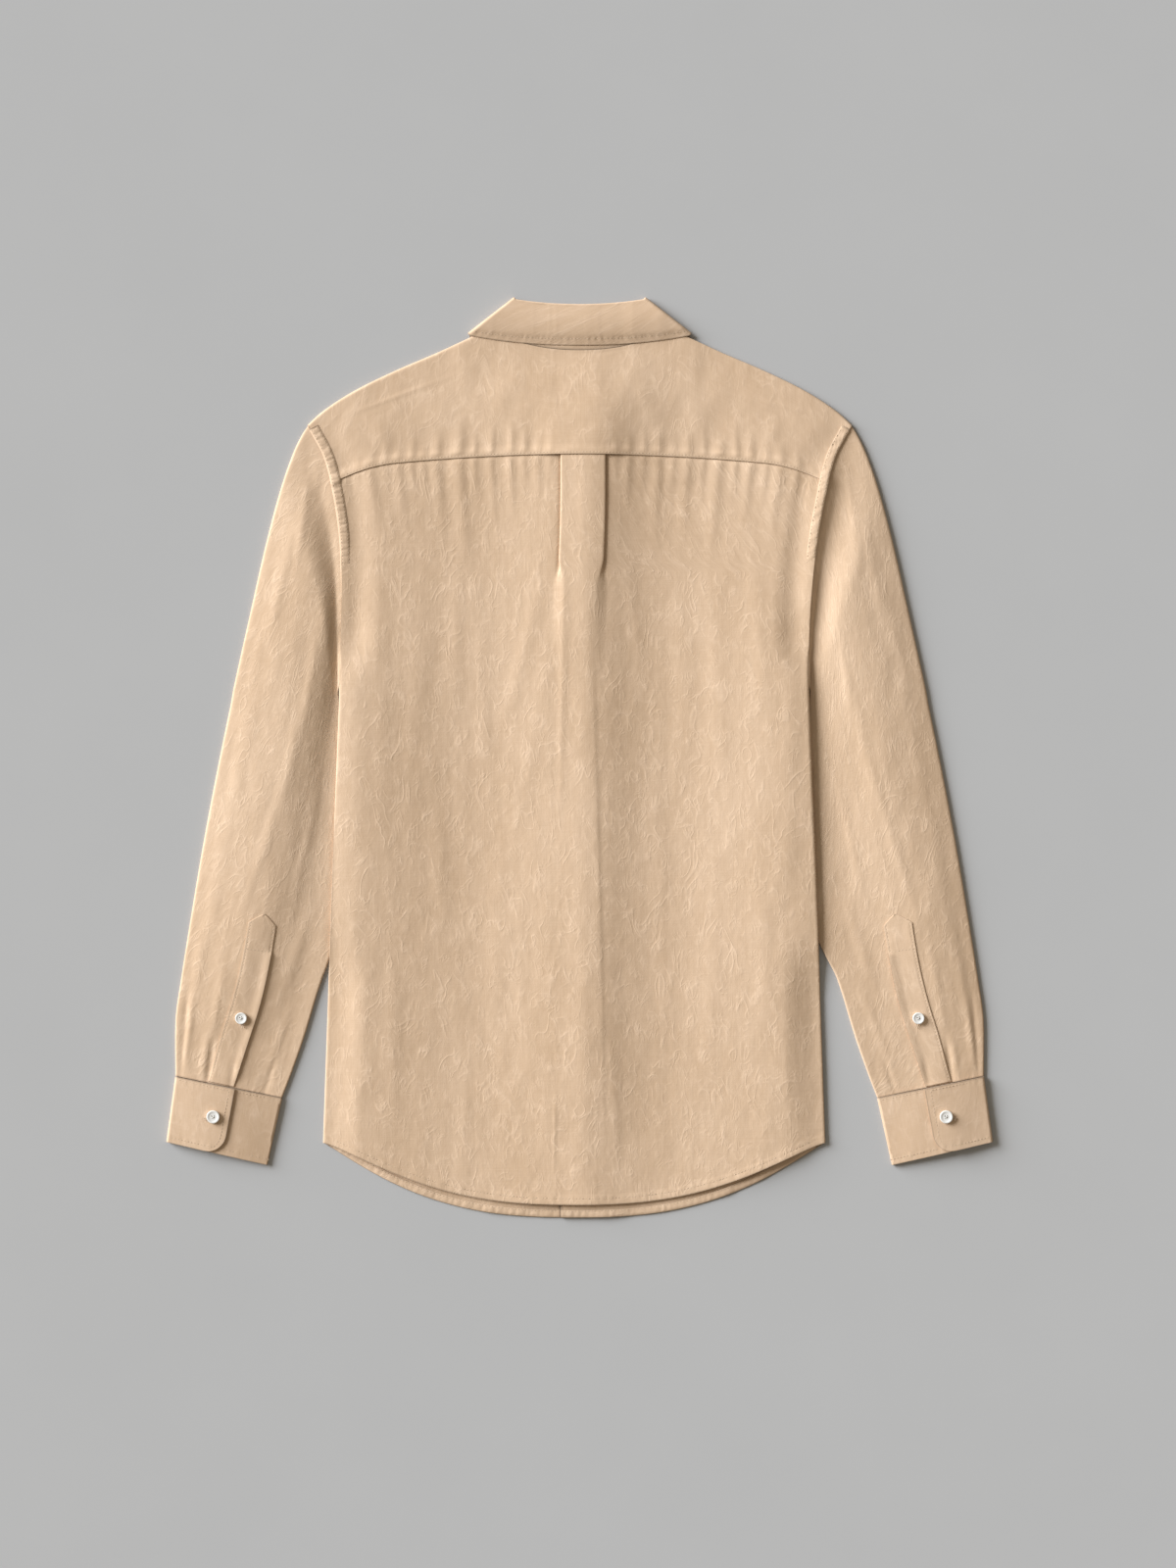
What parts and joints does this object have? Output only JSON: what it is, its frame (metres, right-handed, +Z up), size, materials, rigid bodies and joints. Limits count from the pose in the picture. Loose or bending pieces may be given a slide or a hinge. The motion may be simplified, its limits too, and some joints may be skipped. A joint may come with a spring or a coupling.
{
  "type": "long-sleeve button shirt",
  "caption": "Long-sleeve woven shirt with collar, yoke, box pleat and buttoned cuffs, laid flat with its back up and its sleeves down beside the body.",
  "frame": {"origin": "on the surface the shirt lies on, at the middle of its length and width", "axes": "+X across the shirt to the viewer's right with the back up, +Y from hem to collar, +Z up from the surface"},
  "size_m": [0.7252, 0.8072, 0.0108],
  "materials": {
    "cloth": "matte woven cloth",
    "button": "smooth"
  },
  "bodies": {
    "root": {"back": "cloth", "yoke": "cloth", "front_left": "cloth", "front_right": "cloth", "front_placket": "cloth", "sleeve_left": "cloth", "sleeve_right": "cloth", "sleeve_placket_left": "cloth", "sleeve_placket_right": "cloth", "cuff_left": "cloth", "cuff_right": "cloth", "collar_leaf": "cloth", "collar_stand": "cloth", "cuff_button_left": "button", "cuff_button_right": "button", "sleeve_button_left": "button", "sleeve_button_right": "button", "collar_button": "button", "front_button_1": "button", "front_button_2": "button", "front_button_3": "button", "front_button_4": "button", "front_button_5": "button", "front_button_6": "button"}
  },
  "joints": []
}
